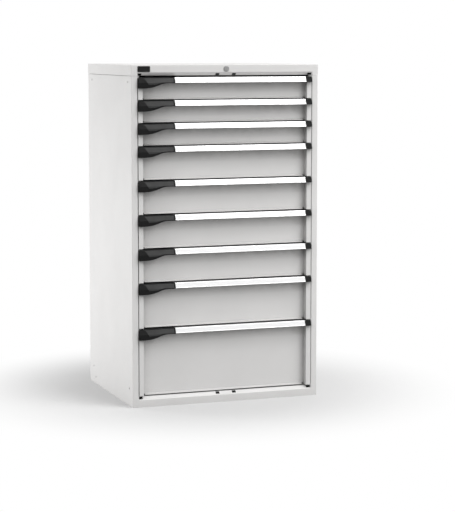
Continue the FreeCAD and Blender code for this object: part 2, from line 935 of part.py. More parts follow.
def make_lever():
    """The release lever: a paddle that hangs from a half-round pivot, longer than itself."""
    body = new_body("lever")
    start = grip_x(s.lever_left)
    length = lever_right - s.lever_left
    wall = s.lever_wall
    foot = s.handle_height
    below = s.lever_drop_left + 1
    pivot_touch = s.pivot_drop - s.pivot_radius * lean_sine()
    paddle = [
        (face_at(pivot_touch), -pivot_touch),
        (face_at(foot), -foot),
        (face_at(foot), -below),
        (face_at(foot) + wall, -below),
        (face_at(foot) + wall, -foot),
        (face_at(s.pivot_drop) + wall, -s.pivot_drop),
    ]
    pad(body, draw_outlines(body, "YZ_Plane", [paddle], start), length)
    around = rectangle(start - 1, start + length + 1, -below - 1, Size.of(1))
    pocket(body, draw_outlines(body, "XZ_Plane", [around, lever_outline(zero)]))
    rod = [(pivot_y(), -s.pivot_drop, s.pivot_radius)]
    sketch = draw_circles(body, "YZ_Plane", rod, start - s.pin_length)
    pad(body, sketch, length + 2 * s.pin_length)
    behind = pivot_y() + s.pivot_radius + 1
    flat = rectangle(pivot_y(), behind, -s.pivot_drop - s.pivot_radius - 1, Size.of(0))
    pocket(body, draw_outlines(body, "YZ_Plane", [flat]))
    return body


def make_handles():
    kinds = {
        "handle": [make_handle()],
        "caps": [make_grip(), make_end_cap()],
        "lever": [make_lever()],
    }
    for number in range(1, DRAWERS + 1):
        for kind, members in kinds.items():
            place(group(f"drawer_{number}_{kind}", members), drawer_top(number))


# Central lock: a cylinder turns a cam, the cam slides a link, the link lifts a bar whose
# fingers then stand in front of the catches on the trays. The fingers lie behind the bar,
# in the gap between the ends of the rails and the side panel.


def make_lock_case():
    bore = s.lock_radius + s.lock_clearance
    barrel = bore + s.lock_wall
    body = new_body("lock_rosette")
    disc = [(0, lock_height, s.rosette_radius)]
    pad(body, draw_circles(body, "XZ_Plane", disc, -s.rosette_height), s.rosette_height)
    pad(body, draw_circles(body, "XZ_Plane", [(0, lock_height, barrel)]), s.lock_length)
    pocket(body, draw_circles(body, "XZ_Plane", [(0, lock_height, bore)]))
    place(body)

    nut = new_body("lock_nut")
    corners = [
        (
            s.nut_radius * math.cos(math.radians(60 * turn)),
            lock_height + s.nut_radius * math.sin(math.radians(60 * turn)),
        )
        for turn in range(6)
    ]
    sketch = draw_outlines(nut, "XZ_Plane", [corners], s.housing_sheet)
    pad(nut, sketch, s.nut_height)
    pocket(nut, draw_circles(nut, "XZ_Plane", [(0, lock_height, barrel)]))
    place(nut)


def make_cylinder():
    body = new_body("lock_cylinder")
    front = -s.rosette_height
    round_face = [(0, lock_height, s.lock_radius)]
    sketch = draw_circles(body, "XZ_Plane", round_face, front)
    pad(body, sketch, s.lock_length - front)
    half = s.keyway_width / 2
    tall = s.keyway_height / 2
    keyway = rectangle(-half, half, lock_height - tall, lock_height + tall)
    pocket(body, draw_outlines(body, "XZ_Plane", [keyway], front), s.keyway_depth, way=1)
    sketch = draw_outlines(body, "XZ_Plane", [tail_outline()], s.lock_length)
    pad(body, sketch, s.cam_start + s.cam_sheet - s.lock_length)
    place(body)


def tail_outline():
    half = s.tail_width / 2
    return rectangle(-half, half, lock_height - half, lock_height + half)


def cam_pin_offset():
    """The cam's pin is 45 degrees to the left of straight down, and turns to the right."""
    return s.cam_throw / math.sqrt(2)


def cam_outline():
    """A tapered arm with clipped corners, from behind the hub to beyond the pin."""
    hub = s.cam_hub
    tip = s.cam_tip
    end = s.cam_throw + tip
    side = [
        (-hub, hub / 2),
        (-hub / 2, hub),
        (hub / 2, hub),
        (s.cam_throw, tip),
        (end, tip / 2),
    ]
    around = side + [(along, -across) for along, across in reversed(side)]
    turn = 1 / math.sqrt(2)
    return [
        ((across - along) * turn, lock_height - (along + across) * turn)
        for along, across in around
    ]


def make_cam():
    body = new_body("lock_cam")
    offset = cam_pin_offset()
    sketch = draw_outlines(body, "XZ_Plane", [cam_outline()], s.cam_start)
    pad(body, sketch, s.cam_sheet)
    sketch = draw_outlines(body, "XZ_Plane", [tail_outline()], s.cam_start)
    pocket(body, sketch, s.cam_sheet, way=1)
    pin = [(-offset, lock_height - offset, s.cam_pin_radius)]
    pad(body, draw_circles(body, "XZ_Plane", pin, s.cam_start), s.cam_sheet + s.cam_pin_length)
    place(body)


def bar_pin():
    x = half_width - s.bar_inset - s.bar_width / 2
    return x, overall_height - s.bar_pin_drop


def make_link():
    """A flat strip with an upright slot for the cam's pin and a slanted one for the bar's."""
    body = new_body("lock_link")
    offset = cam_pin_offset()
    travel = 2 * offset
    x, z = bar_pin()
    top = overall_height - s.link_drop
    outline = rectangle(-s.link_tail, x + s.link_head, top - s.link_height, top)
    pad(body, draw_outlines(body, "XZ_Plane", [outline], s.link_start), s.link_sheet)
    play = s.cam_pin_radius + s.linkage_clearance
    cam_slot = rectangle(
        -offset - play, play - offset, lock_height - s.cam_throw - play, lock_height - offset + play
    )
    reach = play * math.sqrt(2)
    bar_slot = [
        (x - travel, z + travel - reach),
        (x, z - reach),
        (x + reach, z),
        (x - travel + reach, z + travel),
        (x - travel, z + travel + reach),
        (x - travel - reach, z + travel),
    ]
    sketch = draw_outlines(body, "XZ_Plane", [cam_slot, bar_slot], s.link_start)
    pocket(body, sketch, s.link_sheet, way=1)
    place(body)


def make_bar():
    """The lock bar: a long strip with a pin in the link's slot and a finger for each drawer."""
    body = new_body("strip")
    outer = half_width - s.bar_inset
    inner = outer - s.bar_width
    foot = s.base_height + s.bar_floor_gap
    top = overall_height - s.bar_top_drop
    strip = rectangle(inner, outer, foot, top)
    pad(body, draw_outlines(body, "XZ_Plane", [strip], s.bar_start), s.bar_sheet)
    x, z = bar_pin()
    pin_start = s.bar_start - s.bar_pin_length
    sketch = draw_circles(body, "XZ_Plane", [(x, z, s.cam_pin_radius)], pin_start)
    pad(body, sketch, s.bar_pin_length)

    finger = new_body("finger")
    low = s.finger_rise
    outline = rectangle(inner - s.finger_reach, outer, low, low + s.finger_height)
    sketch = draw_outlines(finger, "XZ_Plane", [outline], s.bar_start + s.bar_sheet)
    pad(finger, sketch, s.finger_sheet)
    fingers = [copy_at(finger, drawer_bottom(number)) for number in range(1, DRAWERS + 1)]
    place(group("lock_bar", [body] + fingers))


def make_lock():
    make_lock_case()
    make_cylinder()
    make_cam()
    make_link()
    make_bar()


def check_model():
    """Stops before anything is written if an object failed or a shape is not sound."""
    for item in doc.Objects:
        if "Invalid" in item.State or "Error" in item.State:
            raise RuntimeError(f"{item.Label} failed: {item.State}")
    for sub_part in sub_parts:
        shape = sub_part.Shape
        if shape.isNull() or not shape.isValid() or not shape.Solids:
            raise RuntimeError(f"{sub_part.Label} has no sound solid")


def write_parts():
    os.makedirs("parts", exist_ok=True)
    for sub_part in sub_parts:
        sub_part.Shape.exportStep(f"parts/{sub_part.Label}.step")
        count = len(sub_part.Shape.Solids)
        print(f"{sub_part.Label}: {count} solids, {sub_part.Shape.Volume / 1000:.1f} cm3")


plug_solids = make_plugs()
plug_tool = group("plug_tool", plug_solids)
make_side("side_panel_left", -1)
make_side("side_panel_right", 1)
make_back()
make_base(plug_tool)
make_cap(plug_tool)
make_uprights()
make_cabinet_rails()
place(group("slot_plugs", plug_solids))
make_lock()
make_trays()
make_handles()
make_runners()
doc.recompute()
check_model()
write_parts()
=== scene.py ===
"""Looks of a nine-drawer steel cabinet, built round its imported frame.

Metres, +X to the right, +Y to the back, +Z up, with the floor at z = 0. Sizes that a
maker would measure are written in millimetres and turned into metres by mm(). Angles are
in degrees until they are used.
"""

import logging
import math
from collections.abc import Callable, Iterable, Sequence
from dataclasses import dataclass, field
from enum import Enum

import bmesh
import bpy
from mathutils import Matrix, Vector


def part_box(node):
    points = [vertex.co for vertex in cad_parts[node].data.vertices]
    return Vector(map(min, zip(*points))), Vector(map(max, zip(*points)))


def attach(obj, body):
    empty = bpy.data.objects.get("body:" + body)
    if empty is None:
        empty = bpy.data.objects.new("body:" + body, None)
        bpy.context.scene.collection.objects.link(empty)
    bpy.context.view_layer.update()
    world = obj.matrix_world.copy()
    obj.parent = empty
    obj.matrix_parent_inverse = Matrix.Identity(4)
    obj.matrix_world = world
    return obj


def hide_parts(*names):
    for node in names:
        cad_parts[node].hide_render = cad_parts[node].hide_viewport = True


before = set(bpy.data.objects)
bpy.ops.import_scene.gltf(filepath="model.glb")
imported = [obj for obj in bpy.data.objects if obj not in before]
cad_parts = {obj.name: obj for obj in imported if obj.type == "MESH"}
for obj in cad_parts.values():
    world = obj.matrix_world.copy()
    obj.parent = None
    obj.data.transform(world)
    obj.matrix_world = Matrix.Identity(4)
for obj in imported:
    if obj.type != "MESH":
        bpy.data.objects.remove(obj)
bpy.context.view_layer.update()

logging.basicConfig(level=logging.INFO, format="%(message)s")
log = logging.getLogger("cabinet")

Colour = tuple[float, float, float, float]
Span = tuple[float, float]
Socket = bpy.types.NodeSocket


def mm(*sizes: float) -> float | Vector:
    """Millimetres as metres: one number, or a vector of three."""
    if len(sizes) == 1:
        return sizes[0] / 1000
    return Vector(sizes) / 1000


DRAWERS = 9
ROUND_STEPS = 64
CAD_WELD = mm(0.004)
CAD_FLAT_ANGLE = 0.6
TURNED_WELD = mm(0.002)
TURNED_SHARP_ANGLE = 35.0
FACE_WEIGHT = 100
FRONT = Vector((0.0, -1.0, 0.0))
FACING = 0.9
FULL_SPAN = (0.0, 1.0)
NOISE_SPAN = (0.3, 0.7)


class Slot(Enum):
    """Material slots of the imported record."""

    ENAMEL = "enamel"
    HANDLE = "handle_metal"
    GRIP = "grip_black"
    LEVER = "lever_grey"
    PLUG = "plug_black"
    LOCK = "lock_metal"


# Shader nodes


class Effect(Enum):
    """Effects that several finishes share, each with the name of its node group."""

    EDGE = "edge_mask"
    # Painted shade: the mask that darkens faces under overhangs, where shadow falls.
    PAINTED_SHADE = "painted_shade_mask"
    DUST = "settled_dust"
    GRAIN = "fine_grain"
    HANDLING = "handling_marks"


class Wiring:
    """A node tree with short calls for adding nodes and joining them."""

    def __init__(self, tree: bpy.types.NodeTree) -> None:
        """Starts from an empty tree."""
        self.tree = tree
        tree.nodes.clear()

    def add(self, kind: str, inputs: dict | None = None, **settings: object) -> bpy.types.Node:
        """Adds a node.

        Args:
            kind: the node's type without its ShaderNode prefix.
            inputs: values or output sockets for its input sockets, by name or number.
            settings: properties of the node.

        Returns:
            The new node.
        """
        prefix = "" if kind.startswith("NodeGroup") else "ShaderNode"
        node = self.tree.nodes.new(prefix + kind)
        for name, value in settings.items():
            setattr(node, name, value)
        for name, value in (inputs or {}).items():
            self.feed(value, node.inputs[name])
        return node

    def feed(self, value: object, socket: Socket) -> None:
        """Joins an output socket to an input socket, or sets the input's own value."""
        if isinstance(value, Socket):
            self.tree.links.new(value, socket)
        else:
            socket.default_value = value

    def math(self, operation: str, *values: object) -> Socket:
        """The result of a Math node."""
        node = self.add("Math", dict(enumerate(values)), operation=operation)
        return node.outputs[0]

    def remap(self, value: Socket, *spans: float) -> Socket:
        """A value taken from one span to another: from low, from high, to low, to high."""
        names = ("From Min", "From Max", "To Min", "To Max")
        node = self.add("MapRange", {"Value": value, **dict(zip(names, spans))})
        return node.outputs["Result"]

    def noise(self, place: object, scale: object, detail: float) -> Socket:
        """A noise value over a place."""
        inputs = {"Vector": place, "Scale": scale, "Detail": detail}
        return self.add("TexNoise", inputs).outputs["Fac"]

    def blend(self, share: object, first: object, second: object) -> Socket:
        """A mix of two colours."""
        node = self.add("Mix", data_type="RGBA")
        for name, value in (("Factor", share), ("A", first), ("B", second)):
            kind = "VALUE" if name == "Factor" else "RGBA"
            socket = next(i for i in node.inputs if i.name == name and i.type == kind)
            self.feed(value, socket)
        return next(o for o in node.outputs if o.type == "RGBA")

    def effect(self, effect: Effect, place: object, **amounts: float) -> Socket:
        """The result of a shared effect, with its own amounts."""
        node = self.add("Group", node_tree=bpy.data.node_groups[effect.value])
        for name, value in {"place": place, **amounts}.items():
            self.feed(value, node.inputs[name])
        return node.outputs[0]


def start_effect(effect: Effect, *amounts: str) -> tuple[Wiring, dict[str, Socket], Socket]:
    """Starts a shared effect as a node group that takes a place and gives one number.

    Args:
        effect: which effect it is.
        amounts: names of the numbers that it takes besides the place.

    Returns:
        The group's wiring, what it is given, by name, and the socket for its result.
    """
    tree = bpy.data.node_groups.new(effect.value, "ShaderNodeTree")
    tree.interface.new_socket("place", in_out="INPUT", socket_type="NodeSocketVector")
    for amount in amounts:
        tree.interface.new_socket(amount, in_out="INPUT", socket_type="NodeSocketFloat")
    tree.interface.new_socket("result", in_out="OUTPUT", socket_type="NodeSocketFloat")
    wiring = Wiring(tree)
    given = dict(wiring.add("NodeGroupInput").outputs.items())
    return wiring, given, wiring.add("NodeGroupOutput").inputs["result"]


@dataclass(frozen=True)
class EffectLibrary:
    """Makes the shared effects; each noise is given as its scale and its detail."""

    rays: int = 6
    edge_agreement: Span = (0.995, 0.88)
    edge_noise: Span = (90.0, 5.0)
    edge_patches: Span = (0.35, 0.65)
    # The painted shade under overhangs: occlusion leant upwards, on faces that don't look down,
    # made patchy by noise.
    painted_shade_lean: float = 1.1
    painted_shade_openness: Span = (0.8, 0.2)
    painted_shade_facing: Span = (-0.5, -0.1)
    painted_shade_power: float = 1.6
    painted_shade_noise: Span = (30.0, 4.0)
    painted_shade_share: Span = (0.8, 1.0)
    dust_facing: Span = (0.6, 1.0)
    dust_noise: Span = (14.0, 6.0)
    dust_share: Span = (0.35, 1.0)
    coarse_detail: float = 2.0
    fine_detail: float = 1.0
    fine_ratio: float = 3.7
    marks_detail: float = 5.0
    marks_patches: Span = (0.35, 0.68)

    def build(self) -> None:
        """Makes every shared effect once."""
        self.edge_mask()
        self.painted_shade_mask()
        self.settled_dust()
        self.fine_grain()
        self.handling_marks()
        log.info("effects: %s", ", ".join(effect.value for effect in Effect))

    def edge_mask(self) -> None:
        """A mask of the outer edges, broken up by noise."""
        wiring, given, result = start_effect(Effect.EDGE, "width", "breakup")
        rounded = wiring.add("Bevel", {"Radius": given["width"]}, samples=self.rays)
        flat = wiring.add("NewGeometry").outputs["Normal"]
        normals = {0: rounded.outputs["Normal"], 1: flat}
        agree = wiring.add("VectorMath", normals, operation="DOT_PRODUCT").outputs["Value"]
        edge = wiring.remap(agree, *self.edge_agreement, *FULL_SPAN)
        patches = wiring.noise(given["place"], *self.edge_noise)
        broken = wiring.remap(patches, *self.edge_patches, *FULL_SPAN)
        keep = wiring.math("SUBTRACT", 1.0, given["breakup"])
        share = wiring.math("MULTIPLY_ADD", broken, given["breakup"], keep)
        wiring.feed(wiring.math("MULTIPLY", edge, share), result)

    def painted_shade_mask(self) -> None:
        """A mask of painted shade: spots under an overhang, where shadow falls, broken up by
        noise.
        """
        wiring, given, result = start_effect(Effect.PAINTED_SHADE, "reach")
        normal = wiring.add("NewGeometry").outputs["Normal"]
        upward = (0.0, 0.0, self.painted_shade_lean)
        lean = wiring.add("VectorMath", {0: normal, 1: upward}, operation="ADD")
        inputs = {"Distance": given["reach"], "Normal": lean.outputs["Vector"]}
        # Ambient occlusion finds where shade falls under an overhang, and that shade is painted
        # into the colour.
        near = wiring.add("AmbientOcclusion", inputs, samples=self.rays)
        closed = wiring.remap(near.outputs["AO"], *self.painted_shade_openness, *FULL_SPAN)
        height = wiring.add("SeparateXYZ", {0: normal}).outputs["Z"]
        facing = wiring.remap(height, *self.painted_shade_facing, *FULL_SPAN)
        closed = wiring.math("MULTIPLY", closed, facing)
        closed = wiring.math("POWER", closed, self.painted_shade_power)
        patches = wiring.noise(given["place"], *self.painted_shade_noise)
        uneven = wiring.remap(patches, *NOISE_SPAN, *self.painted_shade_share)
        wiring.feed(wiring.math("MULTIPLY", closed, uneven), result)

    def settled_dust(self) -> None:
        """A mask of faces that look up, thicker in patches."""
        wiring, given, result = start_effect(Effect.DUST, "amount")
        normal = wiring.add("NewGeometry").outputs["Normal"]
        height = wiring.add("SeparateXYZ", {0: normal}).outputs["Z"]
        upward = wiring.remap(height, *self.dust_facing, *FULL_SPAN)
        patches = wiring.noise(given["place"], *self.dust_noise)
        uneven = wiring.remap(patches, *NOISE_SPAN, *self.dust_share)
        settled = wiring.math("MULTIPLY", upward, uneven)
        wiring.feed(wiring.math("MULTIPLY", settled, given["amount"]), result)

    def fine_grain(self) -> None:
        """A fine relief in two sizes, as a height of 0 to 1."""
        wiring, given, result = start_effect(Effect.GRAIN, "scale", "fine_share")
        place, scale, share = given["place"], given["scale"], given["fine_share"]
        coarse = wiring.noise(place, scale, self.coarse_detail)
        finer = wiring.math("MULTIPLY", scale, self.fine_ratio)
        fine = wiring.noise(place, finer, self.fine_detail)
        rest = wiring.math("SUBTRACT", 1.0, share)
        height = wiring.math("MULTIPLY_ADD", fine, share, wiring.math("MULTIPLY", coarse, rest))
        wiring.feed(height, result)

    def handling_marks(self) -> None:
        """Broad soft patches, as hands and cloths leave on a finish."""
        wiring, given, result = start_effect(Effect.HANDLING, "scale")
        broad = wiring.noise(given["place"], given["scale"], self.marks_detail)
        wiring.feed(wiring.remap(broad, *self.marks_patches, *FULL_SPAN), result)


# Finishes


def shade(level: float, warmth: float = 0.0) -> Colour:
    """A near-grey colour: level is its lightness, 0 to 255 as seen, warmth tips it to yellow."""
    offset, stretch, power = 0.055, 1.055, 2.4
    channels = (level + warmth, level, level - warmth)
    return (*(((c / 255 + offset) / stretch) ** power for c in channels), 1.0)


def toned(colour: Colour, factor: float) -> Colour:
    """A colour made lighter or darker by a factor."""
    return tuple(min(c * factor, 1.0) for c in colour[:3]) + (1.0,)


@dataclass(frozen=True)
class Finish:
    """A surface finish; each kind wires its own material."""

    name: str
    colour: Colour
    roughness: float

    def material(self) -> bpy.types.Material:
        """The finish as a material, made on its first use."""
        made = bpy.data.materials.get(self.name)
        if made:
            return made
        made = bpy.data.materials.new(self.name)
        made.use_nodes = True
        wiring = Wiring(made.node_tree)
        shader = wiring.add("BsdfPrincipled")
        output = wiring.add("OutputMaterial")
        wiring.feed(shader.outputs["BSDF"], output.inputs["Surface"])
        place = wiring.add("TexCoord").outputs["Object"]
        self.wire(wiring, shader, place)
        made.diffuse_color = self.colour
        return made

    def wire(self, wiring: Wiring, shader: bpy.types.Node, place: Socket) -> None:
        """Feeds the shader; each kind of finish has its own."""
        raise NotImplementedError

    def vary(self, wiring: Wiring, mask: Socket, span: Span, changes: Span) -> Socket:
        """The roughness, changed by one amount at each end of a mask's span."""
        low, high = (self.roughness + change for change in changes)
        return wiring.remap(mask, *span, low, high)

    def relief(self, wiring: Wiring, shader: bpy.types.Node, height: Socket, depth: float) -> None:
        """Joins a height of 0 to 1, which stands for a depth in metres, to the normal."""
        bump = wiring.add("Bump", {"Height": height, "Distance": depth, "Strength": 1.0})
        wiring.feed(bump.outputs["Normal"], shader.inputs["Normal"])


@dataclass(frozen=True)
class PowderCoat(Finish):
    """Baked powder coat on sheet steel.

    It has a fine peel, is thin at the edges and dusty on top, with shade painted under overhangs.
    """

    marks_scale: float = 5.0
    marks_tone: float = 0.965
    marks_change: Span = (-0.03, 0.05)
    edge: Colour = shade(236)
    edge_width: float = mm(1.2)
    edge_breakup: float = 0.5
    edge_share: float = 0.5
    # Painted shade: a dark colour laid into the coat under overhangs, such as below each handle.
    painted_shade: Colour = shade(76, 1)
    painted_shade_reach: float = mm(70.0)
    painted_shade_strength: float = 0.78
    dust: Colour = shade(196, 3)
    dusting: float = 0.16
    dust_roughness: float = 0.6
    peel: float = 420.0
    peel_fine_share: float = 0.3
    peel_depth: float = mm(0.022)

    def wire(self, wiring: Wiring, shader: bpy.types.Node, place: Socket) -> None:
        """Feeds the shader."""
        marks = wiring.effect(Effect.HANDLING, place, scale=self.marks_scale)
        base = wiring.blend(marks, self.colour, toned(self.colour, self.marks_tone))
        edge = wiring.effect(
            Effect.EDGE, place, width=self.edge_width, breakup=self.edge_breakup
        )
        base = wiring.blend(wiring.math("MULTIPLY", edge, self.edge_share), base, self.edge)
        # Painted shade under overhangs, blended in by the occlusion mask.
        inner = wiring.effect(Effect.PAINTED_SHADE, place, reach=self.painted_shade_reach)
        base = wiring.blend(wiring.math("MULTIPLY", inner, self.painted_shade_strength), base, self.painted_shade)
        dust = wiring.effect(Effect.DUST, place, amount=self.dusting)
        wiring.feed(wiring.blend(dust, base, self.dust), shader.inputs["Base Color"])
        rough = self.vary(wiring, marks, FULL_SPAN, self.marks_change)
        rough = wiring.math("MULTIPLY_ADD", dust, self.dust_roughness, rough)
        wiring.feed(rough, shader.inputs["Roughness"])
        height = wiring.effect(
            Effect.GRAIN, place, scale=self.peel, fine_share=self.peel_fine_share
        )
        self.relief(wiring, shader, height, self.peel_depth)


@dataclass(frozen=True)
class MouldedPlastic(Finish):
    """Injection-moulded plastic with a spark-eroded grain and rubbed edges."""

    marks_scale: float = 22.0
    marks_tone: float = 1.22
    marks_change: Span = (0.04, -0.05)
    rubbed: Colour = shade(48)
    edge_width: float = mm(0.9)
    edge_breakup: float = 0.7
    edge_share: float = 0.45
    edge_roughness: float = -0.25
    grain: float = 1500.0
    grain_fine_share: float = 0.5
    grain_depth: float = mm(0.03)
    shine: float = 0.22

    def wire(self, wiring: Wiring, shader: bpy.types.Node, place: Socket) -> None:
        """Feeds the shader."""
        shader.inputs["Specular IOR Level"].default_value = self.shine
        marks = wiring.effect(Effect.HANDLING, place, scale=self.marks_scale)
        base = wiring.blend(marks, self.colour, toned(self.colour, self.marks_tone))
        edge = wiring.effect(
            Effect.EDGE, place, width=self.edge_width, breakup=self.edge_breakup
        )
        share = wiring.math("MULTIPLY", edge, self.edge_share)
        wiring.feed(wiring.blend(share, base, self.rubbed), shader.inputs["Base Color"])
        rough = self.vary(wiring, marks, FULL_SPAN, self.marks_change)
        rough = wiring.math("MULTIPLY_ADD", share, self.edge_roughness, rough)
        wiring.feed(rough, shader.inputs["Roughness"])
        height = wiring.effect(
            Effect.GRAIN, place, scale=self.grain, fine_share=self.grain_fine_share
        )
        self.relief(wiring, shader, height, self.grain_depth)


@dataclass(frozen=True)
class DrawnMetal(Finish):
    """Metal with fine lines along X, as an extrusion or a rolled strip has."""

    lines: float = 900.0
    line_detail: float = 4.0
    line_squeeze: float = 0.012
    line_tone: float = 0.86
    line_depth: float = mm(0.006)
    spread: float = 0.07
    marks_scale: float = 9.0
    marks_roughness: float = 0.06

    def wire(self, wiring: Wiring, shader: bpy.types.Node, place: Socket) -> None:
        """Feeds the shader."""
        shader.inputs["Metallic"].default_value = 1.0
        inputs = {"Vector": place, "Scale": (self.line_squeeze, 1.0, 1.0)}
        squeezed = wiring.add("Mapping", inputs).outputs["Vector"]
        drawn = wiring.noise(squeezed, self.lines, self.line_detail)
        base = wiring.blend(drawn, self.colour, toned(self.colour, self.line_tone))
        wiring.feed(base, shader.inputs["Base Color"])
        rough = self.vary(wiring, drawn, NOISE_SPAN, (-self.spread, self.spread))
        marks = wiring.effect(Effect.HANDLING, place, scale=self.marks_scale)
        rough = wiring.math("MULTIPLY_ADD", marks, self.marks_roughness, rough)
        wiring.feed(rough, shader.inputs["Roughness"])
        self.relief(wiring, shader, drawn, self.line_depth)


@dataclass(frozen=True)
class ZincPlate(Finish):
    """Zinc-plated steel: a faint spangle and dull patches."""

    spangle: float = 260.0
    spangle_share: float = 0.35
    marks_scale: float = 16.0
    marks_share: float = 0.4
    dull: Colour = shade(150)
    dull_roughness: float = 0.3
    grain: float = 700.0
    grain_fine_share: float = 0.4
    grain_depth: float = mm(0.008)

    def wire(self, wiring: Wiring, shader: bpy.types.Node, place: Socket) -> None:
        """Feeds the shader."""
        shader.inputs["Metallic"].default_value = 1.0
        cells = wiring.add("TexVoronoi", {"Vector": place, "Scale": self.spangle})
        tone = wiring.add("SeparateColor", {0: cells.outputs["Color"]}).outputs["Red"]
        flake = wiring.remap(tone, *FULL_SPAN, 0.0, self.spangle_share)
        marks = wiring.effect(Effect.HANDLING, place, scale=self.marks_scale)
        share = wiring.math("MULTIPLY_ADD", marks, self.marks_share, flake)
        wiring.feed(wiring.blend(share, self.colour, self.dull), shader.inputs["Base Color"])
        rough = wiring.math("MULTIPLY_ADD", share, self.dull_roughness, self.roughness)
        wiring.feed(rough, shader.inputs["Roughness"])
        height = wiring.effect(
            Effect.GRAIN, place, scale=self.grain, fine_share=self.grain_fine_share
        )
        self.relief(wiring, shader, height, self.grain_depth)


@dataclass(frozen=True)
class PrintedCard(Finish):
    """White card behind a clear cover, with a faint mottle."""

    cover: float = 0.3
    cover_roughness: float = 0.18
    mottle_noise: Span = (160.0, 4.0)
    mottle_tone: float = 0.955
    mottle_change: Span = (0.0, 0.12)
    fibre_noise: Span = (900.0, 2.0)
    fibre_depth: float = mm(0.006)

    def wire(self, wiring: Wiring, shader: bpy.types.Node, place: Socket) -> None:
        """Feeds the shader."""
        shader.inputs["Coat Weight"].default_value = self.cover
        shader.inputs["Coat Roughness"].default_value = self.cover_roughness
        mottle = wiring.noise(place, *self.mottle_noise)
        base = wiring.blend(mottle, self.colour, toned(self.colour, self.mottle_tone))
        wiring.feed(base, shader.inputs["Base Color"])
        rough = self.vary(wiring, mottle, NOISE_SPAN, self.mottle_change)
        wiring.feed(rough, shader.inputs["Roughness"])
        self.relief(wiring, shader, wiring.noise(place, *self.fibre_noise), self.fibre_depth)


# Both powder coats carry the painted shade under overhangs.
ENAMEL = PowderCoat("enamel_light_grey", shade(219, 1), 0.46)
HOUSING_ENAMEL = PowderCoat("enamel_housing", shade(221, 1), 0.46)
GRIP_BLACK = MouldedPlastic("grip_black_moulded", shade(14), 0.62, shine=0.16)
LEVER_GREY = MouldedPlastic("lever_grey_moulded", shade(54), 0.54, rubbed=shade(76), shine=0.18)
PLUG_BLACK = MouldedPlastic("plug_black_moulded", shade(12), 0.6, rubbed=shade(24))
BADGE_BLACK = MouldedPlastic("badge_black_enamel", shade(12), 0.4, rubbed=shade(40))
ALUMINIUM = DrawnMetal("aluminium_anodised", shade(226), 0.36)
LABEL_WHITE = PrintedCard("label_white", shade(231), 0.34)
ZINC = ZincPlate("zinc_plated", shade(205), 0.32)
LOCK_METAL = DrawnMetal("lock_satin_nickel", shade(164), 0.3, lines=1600.0)


# Meshes


def new_piece(name: str, bm: bmesh.types.BMesh, smooth: bool = True) -> bpy.types.Object:
    """Turns a bmesh into a piece at the origin.

    Args:
        name: the piece's name.
        bm: the mesh, with its place in it; it is freed.
        smooth: whether its faces are shaded smooth.

    Returns:
        The new object.
    """
    for face in bm.faces:
        face.smooth = smooth
    mesh = bpy.data.meshes.new(name)
    bm.to_mesh(mesh)
    bm.free()
    piece = bpy.data.objects.new(name, mesh)
    bpy.context.scene.collection.objects.link(piece)
    return piece


def settle_normals(piece: bpy.types.Object) -> bpy.types.Object:
    """Keeps flat faces flat beside their rounded edges."""
    weighted = piece.modifiers.new("face_weight", "WEIGHTED_NORMAL")
    weighted.weight = FACE_WEIGHT
    weighted.keep_sharp = True
    return piece


def block(size: Vector) -> bmesh.types.BMesh:
    """A plain block round the origin."""
    bm = bmesh.new()
    bmesh.ops.create_cube(bm, size=1.0)
    bmesh.ops.scale(bm, vec=size, verts=bm.verts)
    return bm


def front_faces(
    bm: bmesh.types.BMesh, but: Iterable[bmesh.types.BMFace] = ()
) -> list[bmesh.types.BMFace]:
    """The faces that look to the front, but for some."""
    return [f for f in bm.faces if f.normal.dot(FRONT) > FACING and f not in but]


def bevel(
    bm: bmesh.types.BMesh,
    edges: Sequence[bmesh.types.BMEdge],
    width: float,
    segments: int,
    clamp: bool = False,
) -> None:
    """Rounds some edges, which clamp keeps from running into each other."""
    bmesh.ops.bevel(
        bm,
        geom=edges,
        offset=width,
        offset_type="OFFSET",
        affect="EDGES",
        segments=segments,
        profile=0.5,
        material=-1,
        clamp_overlap=clamp,
    )


def round_edges(
    bm: bmesh.types.BMesh, width: float, segments: int = 2, sharper_than: float = 24.0
) -> None:
    """Rounds every edge that turns by more than an angle."""
    limit = math.radians(sharper_than)
    edges = [e for e in bm.edges if len(e.link_faces) == 2 and e.calc_face_angle(0.0) > limit]
    bevel(bm, edges, width, segments, clamp=True)


def softened(
    node: str,
    name: str,
    width: float,
    segments: int = 2,
    ease: Callable[[bmesh.types.BMesh], None] | None = None,
) -> bpy.types.Object:
    """A copy of a CAD node's mesh with its sharp edges rounded.

    Args:
        node: the CAD node.
        name: the new piece's name.
        width: how far each edge is rounded, in metres.
        segments: steps in each rounding.
        ease: a change made to the copy before its edges are rounded.

    Returns:
        The new piece.
    """
    bm = bmesh.new()
    bm.from_mesh(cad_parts[node].data)
    bmesh.ops.remove_doubles(bm, verts=bm.verts, dist=CAD_WELD)
    flat = math.radians(CAD_FLAT_ANGLE)
    bmesh.ops.dissolve_limit(
        bm, angle_limit=flat, verts=bm.verts, edges=bm.edges, delimit=set()
    )
    if ease:
        ease(bm)
    round_edges(bm, width, segments)
    return settle_normals(new_piece(name, bm))


